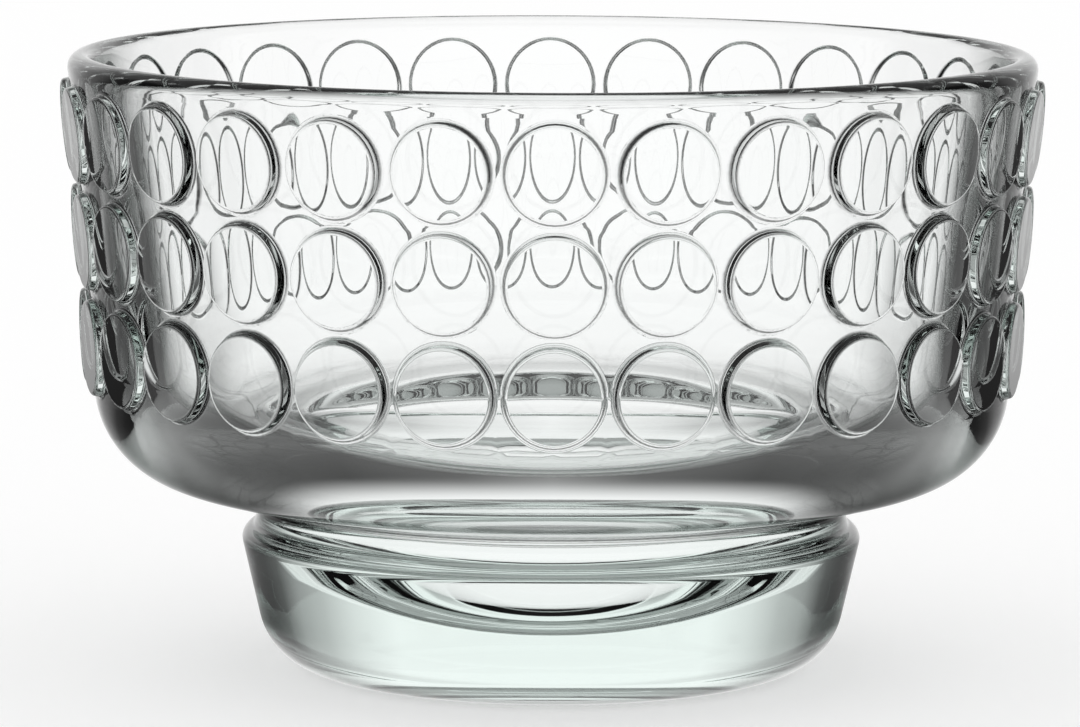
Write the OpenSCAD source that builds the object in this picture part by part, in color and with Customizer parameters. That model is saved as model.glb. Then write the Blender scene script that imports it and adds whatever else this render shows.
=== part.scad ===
// Ice cream coupe in clear pressed glass, one piece.
// A wide bowl stands on a short solid foot. Rows of flat round discs stand out
// from the outside of the wall, one above the other.
// Millimetres, Z up. The origin is the middle of the flat the coupe stands on.
// The section below is the glass cut from the axis outwards: x is the radius.

/* [Overall] */

// outside diameter of the rim
rim_d = 110; // [107:0.5:120]
// height from the table to the top of the rim
total_h = 70.5; // [69.5:0.5:80]

/* [Wall] */

// thickness of the glass at the rim, which is rounded over fully
rim_t = 3.1; // [2.6:0.1:3.8]
// lean of the outside of the wall, measured at the middle of its height
wall_lean = 4.6; // [3.5:0.1:6]
// radius of the slight outward flare of the wall
flare_r = 500; // [350:10:900]
// lean of the inside of the wall
inside_lean = 9.3; // [8.6:0.1:10]

/* [Discs] */

// discs in one ring round the bowl
disc_columns = 28; // [24:2:28]
// rings of discs
disc_rows = 3; // [1:1:3]
// diameter of a disc where it meets the wall
disc_d = 11.2; // [9.6:0.1:11.5]
// how far the flat face stands out from the wall
disc_h = 1.1; // [0.8:0.05:1.4]
// rounding of the edge of the flat face
disc_edge_r = 0.4; // [0.25:0.05:0.5]
// draft of the side of a disc
disc_draft = 14; // [8:1:20]
// distance between rings of discs
row_pitch = 12; // [11.7:0.1:12.6]
// from the top of the rim down to the middle of the first ring
row_drop = 8.6; // [8.2:0.1:10]

/* [Shoulder] */

// radius of the rounded shoulder under the wall
shoulder_r = 11.5; // [10.5:0.1:12]
// height where the shoulder starts to curve in
shoulder_z = 32.5; // [32:0.1:33.5]
// rise of the underside from the foot to the shoulder
under_slope = 13.5; // [10:0.5:17]

/* [Foot] */

// diameter of the foot at its top edge
foot_d = 71.4; // [71:0.2:75]
// height of the top edge of the foot
foot_h = 16.4; // [15:0.2:17]
// inward lean of the side of the foot on its way down
foot_lean = 13; // [6:1:16]
// rounding of the lower edge of the foot
foot_round = 8; // [5:0.2:9]
// rounding of the top edge of the foot
foot_lip_r = 1.4; // [0.8:0.1:1.5]
// diameter of the narrow neck between foot and bowl
neck_d = 67.4; // [64:0.2:67.8]
// rounding between neck and underside
neck_r = 1.9; // [1.2:0.1:2.2]

/* [Hollow] */

// thickness of the glass under the deepest point
floor_t = 8; // [6.6:0.2:9]
// radius of the dished floor
dish_r = 38; // [34:1:41]
// glass over the neck, from the underside to the hollow
shelf_t = 5.7; // [4.8:0.1:6.2]
// slope of the shelf round the dish
shelf_slope = 8; // [7:1:11]
// rounding between dish and shelf
shelf_edge_r = 4; // [3:0.5:6]
// rounding between shelf and wall
corner_r = 12.5; // [10:0.5:14]

/* [Hidden] */

rim_r = rim_d / 2;
lip_r = rim_t / 2;
// depth a disc is sunk in the wall, so that no gap is left
sink = 1.2;
// steps in the large arcs, the small ones, the flare and the edge of a disc
arc_steps = 10;
edge_steps = 4;
flare_steps = 6;
disc_steps = 3;
// smoothness of the turned surfaces
$fa = 3;
$fs = 0.5;
// colour of the glass
glass = [0.86, 0.93, 0.90, 0.45];

// the lip: a full circle at the top of the wall
lip_c = [rim_r - lip_r, total_h - lip_r];

// the wall: a large circle outside the glass that touches the lip
mid_z = (total_h + shoulder_z) / 2;
flare_z = mid_z - flare_r * sin(wall_lean);
flare_c = [lip_c[0] + sqrt(pow(flare_r + lip_r, 2) - pow(lip_c[1] - flare_z, 2)), flare_z];
lip_out = lip_c + lip_r * unit(flare_c - lip_c);
lip_top = [lip_c[0], total_h];
wall_low = [wall_radius(shoulder_z), shoulder_z];

// the shoulder: touches the wall at its lower end
shoulder_c = wall_low - shoulder_r * unit(flare_c - wall_low);
shoulder_end = shoulder_c + shoulder_r * [sin(under_slope), -cos(under_slope)];

// the underside runs from the shoulder to the neck
neck_x = neck_d / 2;
under_z = shoulder_end[1] - (shoulder_end[0] - neck_x) * tan(under_slope);
neck_c = [neck_x + neck_r, under_z + neck_r * tan(under_slope) - neck_r / cos(under_slope)];
neck_top = neck_c + neck_r * [-sin(under_slope), cos(under_slope)];
neck_low = [neck_x, neck_c[1]];

// the foot: flat top edge, leaning side, large rounding at the bottom
foot_x = foot_d / 2;
foot_lip_c = [foot_x - foot_lip_r / cos(foot_lean) - foot_lip_r * tan(foot_lean), foot_h - foot_lip_r];
foot_lip_top = [foot_lip_c[0], foot_h];
foot_lip_low = foot_lip_c + foot_lip_r * [cos(foot_lean), -sin(foot_lean)];
foot_c = [foot_x - (foot_h - foot_round) * tan(foot_lean) - foot_round / cos(foot_lean), foot_round];
foot_side_low = foot_c + foot_round * [cos(foot_lean), -sin(foot_lean)];
foot_flat = [foot_c[0], 0];

// the hollow: wall line, corner, shelf, rounded edge, dish
lip_in = lip_c - lip_r * [cos(inside_lean), -sin(inside_lean)];
shelf_q = [neck_x, under_z + shelf_t];
shelf_n = [-sin(shelf_slope), cos(shelf_slope)];
shelf_d = [cos(shelf_slope), sin(shelf_slope)];
inside_n = [-cos(inside_lean), sin(inside_lean)];
corner_c = meet(shelf_q + corner_r * shelf_n, shelf_n, lip_in + corner_r * inside_n, inside_n);
corner_top = corner_c - corner_r * inside_n;
corner_low = corner_c - corner_r * shelf_n;
dish_c = [0, floor_t + dish_r];
dish_gap = (dish_c - shelf_q) * shelf_n;
edge_c = dish_c - (shelf_edge_r + dish_gap) * shelf_n
    + sqrt(pow(dish_r + shelf_edge_r, 2) - pow(shelf_edge_r + dish_gap, 2)) * shelf_d;
edge_out = edge_c + shelf_edge_r * shelf_n;
edge_in = dish_c + dish_r * unit(edge_c - dish_c);
dish_low = [0, floor_t];

function unit(v) = v / norm(v);

// outside radius of the wall at a height
function wall_radius(z) = flare_c[0] - sqrt(pow(flare_r, 2) - pow(z - flare_c[1], 2));

// lean of the wall at a height
function lean_at(z) = asin((z - flare_c[1]) / flare_r);

// point where two lines cross, each given by a point and its normal
function meet(p, n, q, m) =
    let (a = p * n, b = q * m, d = n[0] * m[1] - n[1] * m[0])
    [(a * m[1] - b * n[1]) / d, (n[0] * b - m[0] * a) / d];

// direction of a vector in degrees
function angle_of(v) = atan2(v[1], v[0]);

// points on the arc round c from p to q, both ends included
function arc(c, p, q, steps) =
    let (r = norm(p - c), a = angle_of(p - c), turn = angle_of(q - c) - a,
        way = turn > 180 ? turn - 360 : turn < -180 ? turn + 360 : turn)
    [for (i = [0 : steps]) c + r * [cos(a + way * i / steps), sin(a + way * i / steps)]];

// the glass from the foot up the outside, over the rim and down the hollow
module glass_section() {
    polygon(concat(
        [[0, 0]],
        arc(foot_c, foot_flat, foot_side_low, arc_steps),
        arc(foot_lip_c, foot_lip_low, foot_lip_top, edge_steps),
        [[neck_x, foot_h]],
        arc(neck_c, neck_low, neck_top, edge_steps),
        arc(shoulder_c, shoulder_end, wall_low, arc_steps),
        arc(flare_c, wall_low, lip_out, flare_steps),
        arc(lip_c, lip_out, lip_top, edge_steps),
        arc(lip_c, lip_top, lip_in, edge_steps),
        arc(corner_c, corner_top, corner_low, arc_steps),
        arc(edge_c, edge_out, edge_in, edge_steps),
        arc(dish_c, edge_in, dish_low, arc_steps)
    ));
}

// one disc, lying flat: its face is at z = 0 and its root below
module disc() {
    root_r = disc_d / 2;
    face_r = root_r - disc_h * tan(disc_draft);
    turn = disc_edge_r * tan(45 - disc_draft / 2);
    edge_c = [face_r - turn, -disc_edge_r];
    side = edge_c + disc_edge_r * [cos(disc_draft), sin(disc_draft)];
    top = [edge_c[0], 0];
    depth = disc_h + sink;
    rotate_extrude() polygon(concat(
        [[0, -depth], [root_r + sink * tan(disc_draft), -depth]],
        arc(edge_c, side, top, disc_steps),
        [[0, 0]]
    ));
}

module coupe() {
    color(glass) {
        rotate_extrude() glass_section();
        for (row = [0 : disc_rows - 1]) {
            z = total_h - row_drop - row * row_pitch;
            for (k = [0 : disc_columns - 1])
                rotate([0, 0, k * 360 / disc_columns])
                    translate([wall_radius(z) + disc_h, 0, z])
                        rotate([0, 90 + lean_at(z), 0]) disc();
        }
    }
}

coupe();
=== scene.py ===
"""An ice cream coupe in clear pressed glass, standing on a pale table in soft studio light."""
import math

import bmesh
import bpy
from mathutils import Matrix, Vector


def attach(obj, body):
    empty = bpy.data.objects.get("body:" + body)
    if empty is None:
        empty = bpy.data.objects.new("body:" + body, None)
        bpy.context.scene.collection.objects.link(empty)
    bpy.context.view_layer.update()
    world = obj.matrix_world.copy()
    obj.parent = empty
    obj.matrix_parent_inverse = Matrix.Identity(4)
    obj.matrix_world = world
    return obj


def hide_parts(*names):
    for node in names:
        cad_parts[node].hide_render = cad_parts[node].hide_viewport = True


MM = 0.001

# the coupe, in millimetres, with the sizes of the part's source
RIM_R = 55.0
TOTAL_H = 70.5
RIM_T = 3.1
WALL_LEAN = math.radians(4.6)
FLARE_R = 500.0
INSIDE_LEAN = math.radians(9.3)
COLUMNS = 28
ROWS = 3
DISC_R = 5.6
DISC_H = 1.1
DISC_EDGE = 0.4
DISC_DRAFT = math.radians(14)
ROW_PITCH = 12.0
ROW_DROP = 8.6
SHOULDER_R = 11.5
SHOULDER_Z = 32.5
UNDER_SLOPE = math.radians(13.5)
FOOT_R = 35.7
FOOT_H = 16.4
FOOT_LEAN = math.radians(13)
FOOT_ROUND = 8.0
FOOT_LIP = 1.4
NECK_X = 33.7
NECK_R = 1.9
FLOOR_T = 8.0
DISH_R = 38.0
SHELF_T = 5.7
SHELF_SLOPE = math.radians(8)
SHELF_EDGE = 4.0
CORNER_R = 12.5

# fillet where a disc meets the wall, which only the visible glass has
ROOT_FILLET = 0.5

# how near two points are joined, and the width of a ring that keeps a crease tight
WELD = 0.004
FINE = 0.04
# steps round one disc, and round the axis, where one column of discs is a quarter of a disc's steps wide
TILE_STEPS = 40
SPIN_STEPS = COLUMNS * TILE_STEPS // 4
# part of the arc at each ring of a disc's rounded edge and of its root
EDGE_PARTS = (0.25, 0.5, 0.75, 1.0)
ROOT_PARTS = (0.0, 0.2, 0.4, 0.6, 0.8, 1.0)
# part of the way from the root to the tile's border at each ring of the wall
WALL_PARTS = (0.0, 0.5, 1.0)

# the camera, in metres and radians, fitted to the photograph; its lens and sensor in millimetres
CAMERA_DISTANCE = 0.731
CAMERA_HEIGHT = 0.1305
CAMERA_TURN = math.radians(0.32)
CAMERA_ROLL = 0.0036
AIM = Vector((-0.00133, 0.0, 0.03475))
LENS = 215.15
SENSOR = 36
CLIP_END = 20

# the studio that the glass sees: angle from straight behind the coupe, in degrees, and brightness,
# for level directions and for those that point down, then the brightness overhead
LEVEL_LIGHT = ((0, 1.0), (22, 1.0), (30, 0.8), (38, 0.52), (46, 0.38), (54, 0.14), (62, 0.08), (76, 0.06),
               (84, 0.6), (90, 0.85), (98, 0.7), (106, 0.6), (116, 0.7), (128, 0.85), (140, 0.95),
               (152, 1.0), (180, 1.0))
LOW_LIGHT = ((0, 0.95), (20, 0.8), (40, 0.5), (60, 0.25), (90, 0.1), (130, 0.06), (160, 0.12), (180, 0.25))
CEILING_LIGHT = (0.38, 0.38, 0.38, 1)
# height of a unit direction at which the light from below and the ceiling set in, and are full
LOW_FROM = (-0.35, -0.6)
CEILING_FROM = (0.3, 0.5)
# what lights the floor
PLAIN_LIGHT = (1, 1, 1, 1)
WHITE = (1, 1, 1, 1)
BLACK = (0, 0, 0, 1)

# the floor, in metres: half its width, and how far it lies under the foot
FLOOR_SIZE = 3.0
FLOOR_GAP = 0.0001
# its colour, and a little light of its own that brings it near white
FLOOR_COLOUR = (0.65, 0.65, 0.65, 1)
FLOOR_LIFT = (0.38, 0.38, 0.38, 1)
# painted light: seen in the glass the floor glows white up to the first distance from the axis, a painted
# pool of light where the foot's shadow lies, and from the second one on it glows with the studio's light
# in the direction from a point this high over the foot, painted light and shade by direction
PAINTED_POOL_FADE = (0.03, 0.045)
SEEN_FROM = 0.05

# the glass: the waves that fire polishing leaves, and the patches where it is a little less sharp
GLASS_IOR = 1.52
WAVE_SCALE = 60.0
WAVE_HEIGHT = 0.00002
CLOUD_SCALE = 25.0
TOP_ROUGHNESS = 0.02
# painted shade: the glass's colour darkens where its surface turns away, from the first value of Facing to
# the second
PAINTED_EDGE_SHADE_FACING = (0.5, 0.8)
FACE_COLOUR = (1, 1, 1, 1)
PAINTED_EDGE_SHADE = (0.12, 0.13, 0.125, 1)
# the green of its depth
BODY_COLOUR = (0.82, 0.95, 0.9, 1)
BODY_DENSITY = 12.0


def from_angle(angle):
    """Unit vector in a direction in the plane."""
    return Vector((math.cos(angle), math.sin(angle)))


class Section:
    """Centres and touching points of the arcs in the glass section; x is the radius."""

    def __init__(self):
        self.place_wall()
        self.place_underside()
        self.place_foot()
        self.place_hollow()

    def place_wall(self):
        lip = RIM_T / 2
        self.lip_c = Vector((RIM_R - lip, TOTAL_H - lip))
        flare_z = (TOTAL_H + SHOULDER_Z) / 2 - FLARE_R * math.sin(WALL_LEAN)
        reach = math.sqrt((FLARE_R + lip) ** 2 - (self.lip_c.y - flare_z) ** 2)
        self.flare_c = Vector((self.lip_c.x + reach, flare_z))
        self.lip_out = self.lip_c + lip * (self.flare_c - self.lip_c).normalized()
        self.lip_top = Vector((self.lip_c.x, TOTAL_H))
        self.lip_in = self.lip_c + lip * Vector((-math.cos(INSIDE_LEAN), math.sin(INSIDE_LEAN)))
        self.wall_low = Vector((self.wall(SHOULDER_Z), SHOULDER_Z))

    def place_underside(self):
        self.shoulder_c = self.wall_low - SHOULDER_R * (self.flare_c - self.wall_low).normalized()
        up = Vector((-math.sin(UNDER_SLOPE), math.cos(UNDER_SLOPE)))
        self.shoulder_end = self.shoulder_c - SHOULDER_R * up
        self.under_z = self.shoulder_end.y - (self.shoulder_end.x - NECK_X) * math.tan(UNDER_SLOPE)
        neck_z = self.under_z + NECK_R * math.tan(UNDER_SLOPE) - NECK_R / math.cos(UNDER_SLOPE)
        self.neck_c = Vector((NECK_X + NECK_R, neck_z))
        self.neck_top = self.neck_c + NECK_R * up
        self.neck_low = Vector((NECK_X, self.neck_c.y))

    def place_foot(self):
        side = Vector((math.cos(FOOT_LEAN), -math.sin(FOOT_LEAN)))
        lip_x = FOOT_R - FOOT_LIP / math.cos(FOOT_LEAN) - FOOT_LIP * math.tan(FOOT_LEAN)
        self.foot_lip_c = Vector((lip_x, FOOT_H - FOOT_LIP))
        self.foot_lip_top = Vector((self.foot_lip_c.x, FOOT_H))
        self.foot_lip_low = self.foot_lip_c + FOOT_LIP * side
        foot_x = FOOT_R - (FOOT_H - FOOT_ROUND) * math.tan(FOOT_LEAN) - FOOT_ROUND / math.cos(FOOT_LEAN)
        self.foot_c = Vector((foot_x, FOOT_ROUND))
        self.foot_side_low = self.foot_c + FOOT_ROUND * side
        self.foot_flat = Vector((self.foot_c.x, 0.0))

    def place_hollow(self):
        inside_n = Vector((-math.cos(INSIDE_LEAN), math.sin(INSIDE_LEAN)))
        shelf_q = Vector((NECK_X, self.under_z + SHELF_T))
        shelf_n = Vector((-math.sin(SHELF_SLOPE), math.cos(SHELF_SLOPE)))
        shelf_d = Vector((math.cos(SHELF_SLOPE), math.sin(SHELF_SLOPE)))
        self.corner_c = crossing(shelf_q + CORNER_R * shelf_n, shelf_n,
                                 self.lip_in + CORNER_R * inside_n, inside_n)
        self.corner_top = self.corner_c - CORNER_R * inside_n
        self.corner_low = self.corner_c - CORNER_R * shelf_n
        self.dish_c = Vector((0.0, FLOOR_T + DISH_R))
        gap = (self.dish_c - shelf_q).dot(shelf_n) + SHELF_EDGE
        along = math.sqrt((DISH_R + SHELF_EDGE) ** 2 - gap ** 2)
        self.edge_c = self.dish_c - gap * shelf_n + along * shelf_d
        self.edge_out = self.edge_c + SHELF_EDGE * shelf_n
        self.edge_in = self.dish_c + DISH_R * (self.edge_c - self.dish_c).normalized()
        self.dish_low = Vector((0.0, FLOOR_T))

    def wall(self, z):
        """Outside radius of the wall and of the shoulder under it, without the discs."""
        if z >= SHOULDER_Z:
            return self.flare_c.x - math.sqrt(FLARE_R ** 2 - (z - self.flare_c.y) ** 2)
        return self.shoulder_c.x + math.sqrt(SHOULDER_R ** 2 - (z - self.shoulder_c.y) ** 2)

    def lean(self, z):
        """Lean of the wall at a height."""
        return math.asin((z - self.flare_c.y) / FLARE_R)


def crossing(p, n, q, m):
    """Point where two lines cross, each given by a point and its normal."""
    a, b, d = p.dot(n), q.dot(m), n.x * m.y - n.y * m.x
    return Vector(((a * m.y - b * n.y) / d, (n.x * b - m.x * a) / d))


def arc(c, p, q, steps):
    """Points on the arc round c from p to q, both ends included."""
    start = math.atan2(p.y - c.y, p.x - c.x)
    way = math.atan2(q.y - c.y, q.x - c.x) - start
    way = (way + math.pi) % (2 * math.pi) - math.pi
    return [c + (p - c).length * from_angle(start + way * i / steps) for i in range(steps + 1)]


def straight(p, q, steps):
    """Points between p and q, without the ends."""
    return [p.lerp(q, i / steps) for i in range(1, steps)]


def turn(bm, points):
    """A surface of revolution about Z through the points; x is the radius."""
    verts = [bm.verts.new((p.x, 0, p.y)) for p in points]
    edges = [bm.edges.new(pair) for pair in zip(verts, verts[1:])]
    bmesh.ops.spin(bm, geom=verts + edges, cent=(0, 0, 0), axis=(0, 0, 1), angle=2 * math.pi,
                   steps=SPIN_STEPS, use_merge=True)


class Disc:
    """Profile of one raised disc: radius against height over the wall, 1 on the face and 0 on the wall."""

    def __init__(self):
        draft, edge, fillet = DISC_DRAFT, DISC_EDGE, ROOT_FILLET
        side = DISC_R - DISC_H * math.tan(draft)
        self.edge_x = side - edge * math.tan((math.pi / 2 - draft) / 2)
        self.fillet_x = DISC_R + fillet * math.tan((math.pi / 2 - draft) / 2)

    def face_radii(self):
        """Rings on the face and round its edge."""
        turns = [part * (math.pi / 2 - DISC_DRAFT) for part in EDGE_PARTS]
        rounded = [self.edge_x + DISC_EDGE * math.sin(a) for a in turns]
        return [self.edge_x * 0.5, self.edge_x - FINE, self.edge_x] + rounded

    def height(self, radius):
        """Height at a radius, from the edge rounding outwards."""
        top_x = self.edge_x + DISC_EDGE * math.cos(DISC_DRAFT)
        low_x = self.fillet_x - ROOT_FILLET * math.cos(DISC_DRAFT)
        if radius <= self.edge_x:
            return 1.0
        if radius <= top_x:
            drop = DISC_EDGE - math.sqrt(DISC_EDGE ** 2 - (radius - self.edge_x) ** 2)
            return 1 - drop / DISC_H
        if radius <= low_x:
            return (DISC_R - radius) / math.tan(DISC_DRAFT) / DISC_H
        if radius < self.fillet_x:
            rise = ROOT_FILLET - math.sqrt(ROOT_FILLET ** 2 - (self.fillet_x - radius) ** 2)
            return rise / DISC_H
        return 0.0

    def root_radii(self, limit):
        """Rings from the foot of the side across the fillet, no farther out than the limit."""
        low_x = self.fillet_x - ROOT_FILLET * math.cos(DISC_DRAFT)
        outer = min(self.fillet_x, limit - FINE)
        turns = [DISC_DRAFT + part * (math.pi / 2 - DISC_DRAFT) for part in ROOT_PARTS]
        full = [self.fillet_x - ROOT_FILLET * math.cos(a) for a in turns]
        return [low_x + (r - low_x) * (outer - low_x) / (self.fillet_x - low_x) for r in full]


def disc_tile(bm, section, row):
    """One disc of a ring with the wall round it, out to the middle of the gaps to its neighbours."""
    z_row = TOTAL_H - ROW_DROP - row * ROW_PITCH
    lean = section.lean(z_row)
    face_r = section.wall(z_row) + DISC_H
    half_turn = math.pi / COLUMNS
    half_wide = section.wall(z_row) * math.tan(half_turn)
    disc = Disc()

    def place(turn_by, z, height):
        """Point between the wall at 0 and the flat of the face at 1."""
        wall = section.wall(z)
        face = (face_r + (z - z_row) * math.tan(lean)) / math.cos(turn_by)
        r = wall + height * (face - wall)
        return Vector((r * math.sin(turn_by), -r * math.cos(turn_by), z))

    def on_disc(u, v, height):
        """The same for a point given across and up the face."""
        out = face_r + v * math.sin(lean)
        return place(math.atan2(u, out), z_row + v * math.cos(lean), height)

    start = bmesh.ops.create_circle(bm, cap_ends=True, cap_tris=True, segments=TILE_STEPS, radius=1.0)
    hub = next(v for v in start["verts"] if v.co.length < 0.5)
    ring = [v for v in start["verts"] if v is not hub]
    angles = [math.atan2(v.co.y, v.co.x) for v in ring]
    squares = [from_angle(a) / max(abs(math.cos(a)), abs(math.sin(a))) for a in angles]
    limits = [math.hypot(q.x * half_wide, q.y * ROW_PITCH / 2) for q in squares]
    tracks = [disc.face_radii() + disc.root_radii(limit) for limit in limits]
    nearby = dict.fromkeys(e for v in ring for e in v.link_edges)
    edges = [e for e in nearby if hub not in e.verts]
    hub.co = on_disc(0, 0, 1)
    for k in range(len(tracks[0])):
        if k:
            ring, edges = grow(bm, ring, edges)
        for v, a, track in zip(ring, angles, tracks):
            v.co = on_disc(track[k] * math.cos(a), track[k] * math.sin(a), disc.height(track[k]))
    for share in WALL_PARTS:
        ring, edges = grow(bm, ring, edges)
        for v, a, track, q, limit in zip(ring, angles, tracks, squares, limits):
            near = min(track[-1] + FINE, (track[-1] + limit) / 2)
            near_turn = math.atan2(near * math.cos(a), face_r + near * math.sin(a) * math.sin(lean))
            near_z = z_row + near * math.sin(a) * math.cos(lean)
            turn_by = near_turn + share * (q.x * half_turn - near_turn)
            z = near_z + share * (z_row + q.y * ROW_PITCH / 2 - near_z)
            v.co = place(turn_by, z, disc.height(near + share * (limit - near)))


def disc_band(section):
    """The rings of discs with the wall between them, as a mesh: one column, turned round the axis."""
    bm = bmesh.new()
    for row in range(ROWS):
        disc_tile(bm, section, row)
    bmesh.ops.remove_doubles(bm, verts=bm.verts, dist=WELD)
    bmesh.ops.spin(bm, geom=bm.verts[:] + bm.edges[:] + bm.faces[:], cent=(0, 0, 0), axis=(0, 0, 1),
                   angle=2 * math.pi * (COLUMNS - 1) / COLUMNS, steps=COLUMNS - 1, use_duplicate=True)
    mesh = bpy.data.meshes.new("disc_band")
    bm.to_mesh(mesh)
    bm.free()
    return mesh


def grow(bm, ring, edges):
    """Adds a ring of faces outside the edges and gives the new verts, in the order of the old ones."""
    made = bmesh.ops.extrude_edge_only(bm, edges=edges)
    new_verts = [g for g in made["geom"] if isinstance(g, bmesh.types.BMVert)]
    new_edges = [g for g in made["geom"] if isinstance(g, bmesh.types.BMEdge)
                 and all(v in new_verts for v in g.verts)]
    fresh = set(new_verts)
    ordered = [next(e.other_vert(v) for e in v.link_edges if e.other_vert(v) in fresh) for v in ring]
    return ordered, new_edges


def outline_below(s):
    """Points from the axis under the foot up to the lower border of the discs."""
    band_low = TOTAL_H - ROW_DROP - (ROWS - 0.5) * ROW_PITCH
    below = [Vector((0, 0))] + straight(Vector((0, 0)), s.foot_flat, 4)
    below += arc(s.foot_c, s.foot_flat, s.foot_side_low, 16)
    below += straight(s.foot_side_low, s.foot_lip_low, 5)
    below += arc(s.foot_lip_c, s.foot_lip_low, s.foot_lip_top, 6)
    below += arc(s.neck_c, s.neck_low, s.neck_top, 8)
    below += straight(s.neck_top, s.shoulder_end, 5)
    return below + arc(s.shoulder_c, s.shoulder_end, Vector((s.wall(band_low), band_low)), 16)


def outline_above(s):
    """Points from the upper border of the discs over the rim and down the hollow to the axis."""
    band_top = TOTAL_H - ROW_DROP + ROW_PITCH / 2
    stop = Vector((s.wall(band_top), band_top))
    above = [stop] + straight(stop, s.lip_out, 2)
    above += arc(s.lip_c, s.lip_out, s.lip_top, 8)
    above += arc(s.lip_c, s.lip_top, s.lip_in, 8)[1:]
    above += straight(s.lip_in, s.corner_top, 12)
    above += arc(s.corner_c, s.corner_top, s.corner_low, 14)
    above += straight(s.corner_low, s.edge_out, 6)
    above += arc(s.edge_c, s.edge_out, s.edge_in, 10)
    return above + arc(s.dish_c, s.edge_in, s.dish_low, 16)[1:]


def make_coupe():
    """The glass as one closed mesh: two turned surfaces with the band of discs between them."""
    s = Section()
    bm = bmesh.new()
    turn(bm, outline_below(s))
    turn(bm, outline_above(s))
    bmesh.ops.rotate(bm, verts=bm.verts, cent=(0, 0, 0), matrix=Matrix.Rotation(math.pi / COLUMNS, 3, "Z"))
    bm.from_mesh(disc_band(s))
    bmesh.ops.remove_doubles(bm, verts=bm.verts, dist=WELD)
    bmesh.ops.scale(bm, vec=(MM, MM, MM), verts=bm.verts)
    bmesh.ops.recalc_face_normals(bm, faces=bm.faces)
    open_edges = sum(1 for e in bm.edges if len(e.link_faces) != 2)
    print("coupe:", len(bm.faces), "faces,", open_edges, "edges without two faces")
    mesh = bpy.data.meshes.new("coupe_glass")
    bm.to_mesh(mesh)
    bm.free()
    mesh.shade_smooth()
    piece = bpy.data.objects.new("coupe_glass", mesh)
    bpy.context.scene.collection.objects.link(piece)
    return piece


def add(tree, kind, **settings):
    """A new node with its settings by name."""
    made = tree.nodes.new(kind)
    for name, value in settings.items():
        setattr(made, name, value)
    return made


def feed(tree, socket, value):
    """Links a socket to another one, or writes a plain value into it."""
    if isinstance(value, bpy.types.NodeSocket):
        tree.links.new(value, socket)
    else:
        socket.default_value = value


def calc(tree, operation, a, b=0.0):
    """A math node's result."""
    made = add(tree, "ShaderNodeMath", operation=operation)
    feed(tree, made.inputs[0], a)
    feed(tree, made.inputs[1], b)
    return made.outputs[0]


def blend(tree, share, a, b):
    """Colour a where the share is 0 and colour b where it is 1."""
    made = add(tree, "ShaderNodeMix", data_type="RGBA")
    feed(tree, made.inputs["Factor"], share)
    feed(tree, made.inputs[6], a)
    feed(tree, made.inputs[7], b)
    return made.outputs[2]


def remap(tree, value, low, high):
    """0 below low, 1 above high and a soft step between them; low may be the larger one."""
    made = add(tree, "ShaderNodeMapRange", interpolation_type="SMOOTHSTEP")
    feed(tree, made.inputs["Value"], value)
    feed(tree, made.inputs["From Min"], low)
    feed(tree, made.inputs["From Max"], high)
    return made.outputs["Result"]


def ramp(tree, value, stops):
    """Grey by angle: each stop is an angle in degrees and a brightness."""
    made = add(tree, "ShaderNodeValToRGB")
    marks = made.color_ramp.elements
    marks.remove(marks[1])
    for k, (angle, light) in enumerate(stops):
        mark = marks[0] if k == 0 else marks.new(angle / 180)
        mark.position = angle / 180
        mark.color = (light, light, light, 1)
    feed(tree, made.inputs[0], value)
    return made.outputs[0]


def studio_group():
    """Light of the studio in a direction: level or looking down by the angle round, and the ceiling."""
    tree = bpy.data.node_groups.new("studio_room", "ShaderNodeTree")
    tree.interface.new_socket("Direction", in_out="INPUT", socket_type="NodeSocketVector")
    tree.interface.new_socket("Light", in_out="OUTPUT", socket_type="NodeSocketColor")
    start, end = add(tree, "NodeGroupInput"), add(tree, "NodeGroupOutput")
    axes = add(tree, "ShaderNodeSeparateXYZ")
    feed(tree, axes.inputs[0], start.outputs["Direction"])
    side = calc(tree, "ABSOLUTE", axes.outputs["X"])
    round_by = calc(tree, "DIVIDE", calc(tree, "ARCTAN2", side, axes.outputs["Y"]), math.pi)
    low = remap(tree, axes.outputs["Z"], *LOW_FROM)
    high = remap(tree, axes.outputs["Z"], *CEILING_FROM)
    light = blend(tree, low, ramp(tree, round_by, LEVEL_LIGHT), ramp(tree, round_by, LOW_LIGHT))
    light = blend(tree, high, light, CEILING_LIGHT)
    feed(tree, end.inputs["Light"], light)
    return tree


def place_group(tree, group, direction):
    """The studio's light in a direction, as a group placed in a tree."""
    made = add(tree, "ShaderNodeGroup", node_tree=group)
    feed(tree, made.inputs["Direction"], direction)
    return made.outputs["Light"]


def make_world(studio):
    """The camera sees white, plain light falls on the floor, and the glass sees the studio."""
    world = bpy.data.worlds.new("studio")
    bpy.context.scene.world = world
    world.use_nodes = True
    tree = world.node_tree
    path = add(tree, "ShaderNodeLightPath")
    coord = add(tree, "ShaderNodeTexCoord")
    light = place_group(tree, studio, coord.outputs["Generated"])
    scattered = calc(tree, "GREATER_THAN", path.outputs["Diffuse Depth"], 0.5)
    light = blend(tree, scattered, light, PLAIN_LIGHT)
    light = blend(tree, path.outputs["Is Camera Ray"], light, WHITE)
    feed(tree, tree.nodes["Background"].inputs["Color"], light)


def make_floor(studio):
    """A wide flat floor just under the foot."""
    mesh = bpy.data.meshes.new("floor")
    bm = bmesh.new()
    bmesh.ops.create_grid(bm, x_segments=1, y_segments=1, size=FLOOR_SIZE)
    bmesh.ops.translate(bm, verts=bm.verts, vec=(0, 0, -FLOOR_GAP))
    bm.to_mesh(mesh)
    bm.free()
    floor = bpy.data.objects.new("floor", mesh)
    bpy.context.scene.collection.objects.link(floor)
    floor.data.materials.append(floor_material(studio))


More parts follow.
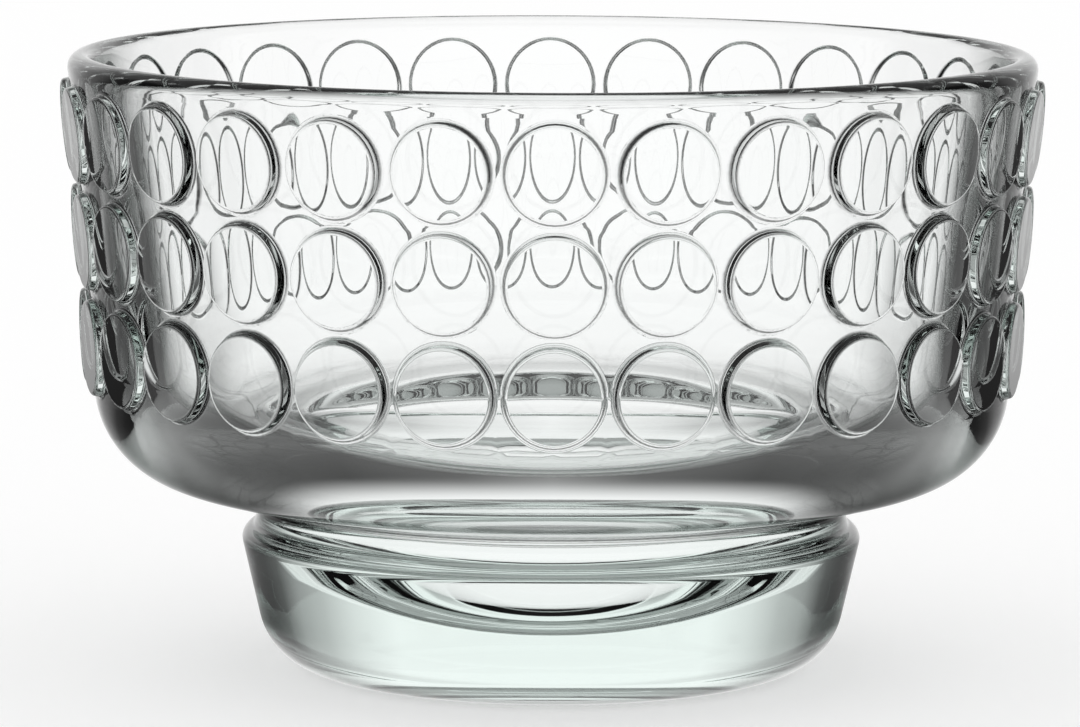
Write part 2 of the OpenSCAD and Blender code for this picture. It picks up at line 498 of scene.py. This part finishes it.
def floor_material(studio):
    """Pale to the camera; in the glass it glows with painted light, white near the foot where its shadow
    lies and the studio's light farther out.
    """
    material = bpy.data.materials.new("pale_floor")
    material.use_nodes = True
    tree = material.node_tree
    shader = tree.nodes["Principled BSDF"]
    shader.inputs["Roughness"].default_value = 1.0
    shader.inputs["Specular IOR Level"].default_value = 0.0
    path = add(tree, "ShaderNodeLightPath")
    spot = add(tree, "ShaderNodeTexCoord").outputs["Object"]
    axes = add(tree, "ShaderNodeSeparateXYZ")
    feed(tree, axes.inputs[0], spot)
    outward = add(tree, "ShaderNodeCombineXYZ")
    feed(tree, outward.inputs["X"], axes.outputs["X"])
    feed(tree, outward.inputs["Y"], axes.outputs["Y"])
    feed(tree, outward.inputs["Z"], -SEEN_FROM)
    course = add(tree, "ShaderNodeVectorMath", operation="NORMALIZE")
    feed(tree, course.inputs[0], outward.outputs[0])
    painted_studio_light = place_group(tree, studio, course.outputs["Vector"])
    distance = add(tree, "ShaderNodeVectorMath", operation="LENGTH")
    feed(tree, distance.inputs[0], spot)
    far = remap(tree, distance.outputs["Value"], *PAINTED_POOL_FADE)
    # painted light: to glass rays the floor has no shading of its own and glows white near the foot and
    # with the studio's light farther out
    through = calc(tree, "MAXIMUM", path.outputs["Is Transmission Ray"], path.outputs["Is Glossy Ray"])
    feed(tree, shader.inputs["Base Color"], blend(tree, through, FLOOR_COLOUR, BLACK))
    feed(tree, shader.inputs["Emission Color"],
         blend(tree, through, FLOOR_LIFT, blend(tree, far, WHITE, painted_studio_light)))
    shader.inputs["Emission Strength"].default_value = 1.0
    return material


def glass_material():
    """Clear glass, a little greener where it is thick, with the faint waves of fire polishing, and painted
    shade that darkens its colour where its surface turns away.
    """
    material = bpy.data.materials.new("clear_glass")
    material.use_nodes = True
    tree = material.node_tree
    shader = tree.nodes["Principled BSDF"]
    shader.inputs["IOR"].default_value = GLASS_IOR
    shader.inputs["Transmission Weight"].default_value = 1.0
    spot = add(tree, "ShaderNodeTexCoord").outputs["Object"]
    waves = add(tree, "ShaderNodeTexNoise")
    feed(tree, waves.inputs["Vector"], spot)
    waves.inputs["Scale"].default_value = WAVE_SCALE
    waves.inputs["Detail"].default_value = 1.0
    bump = add(tree, "ShaderNodeBump")
    bump.inputs["Strength"].default_value = 1.0
    bump.inputs["Distance"].default_value = WAVE_HEIGHT
    feed(tree, bump.inputs["Height"], waves.outputs["Fac"])
    feed(tree, shader.inputs["Normal"], bump.outputs["Normal"])
    cloud = add(tree, "ShaderNodeTexNoise")
    feed(tree, cloud.inputs["Vector"], spot)
    cloud.inputs["Scale"].default_value = CLOUD_SCALE
    feed(tree, shader.inputs["Roughness"], calc(tree, "MULTIPLY", cloud.outputs["Fac"], TOP_ROUGHNESS))
    # painted shade: the colour goes from clear to dark grey where the surface turns away, standing in for
    # the dark edges that refraction shows
    edge = add(tree, "ShaderNodeLayerWeight")
    edge.inputs["Blend"].default_value = 0.5
    painted_edge_shade_share = remap(tree, edge.outputs["Facing"], *PAINTED_EDGE_SHADE_FACING)
    feed(tree, shader.inputs["Base Color"], blend(tree, painted_edge_shade_share, FACE_COLOUR, PAINTED_EDGE_SHADE))
    body = add(tree, "ShaderNodeVolumeAbsorption")
    body.inputs["Color"].default_value = BODY_COLOUR
    body.inputs["Density"].default_value = BODY_DENSITY
    tree.links.new(body.outputs[0], tree.nodes["Material Output"].inputs["Volume"])
    return material


def make_camera():
    """The photograph's camera."""
    data = bpy.data.cameras.new("camera")
    data.lens = LENS
    data.sensor_width = SENSOR
    camera = bpy.data.objects.new("camera", data)
    bpy.context.scene.collection.objects.link(camera)
    place = Vector((0, -CAMERA_DISTANCE, CAMERA_HEIGHT))
    spin = Matrix.Rotation(-CAMERA_TURN, 3, "Z")
    place, aim = spin @ place, spin @ AIM
    look = (aim - place).to_track_quat("-Z", "Y")
    camera.location = place
    camera.rotation_mode = "QUATERNION"
    camera.rotation_quaternion = look @ Matrix.Rotation(CAMERA_ROLL, 3, "Z").to_quaternion()
    data.clip_end = CLIP_END
    bpy.context.scene.camera = camera


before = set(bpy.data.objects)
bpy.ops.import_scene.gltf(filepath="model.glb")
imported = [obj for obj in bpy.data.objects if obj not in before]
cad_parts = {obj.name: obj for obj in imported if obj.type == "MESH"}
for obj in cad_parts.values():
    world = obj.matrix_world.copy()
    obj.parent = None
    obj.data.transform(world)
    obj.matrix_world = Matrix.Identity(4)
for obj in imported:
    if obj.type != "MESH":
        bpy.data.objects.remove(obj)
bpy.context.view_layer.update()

coupe = make_coupe()
coupe.data.materials.append(glass_material())
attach(coupe, "root")
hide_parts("coupe")

studio = studio_group()
make_world(studio)
make_floor(studio)
make_camera()
bpy.context.scene.view_settings.view_transform = "Standard"
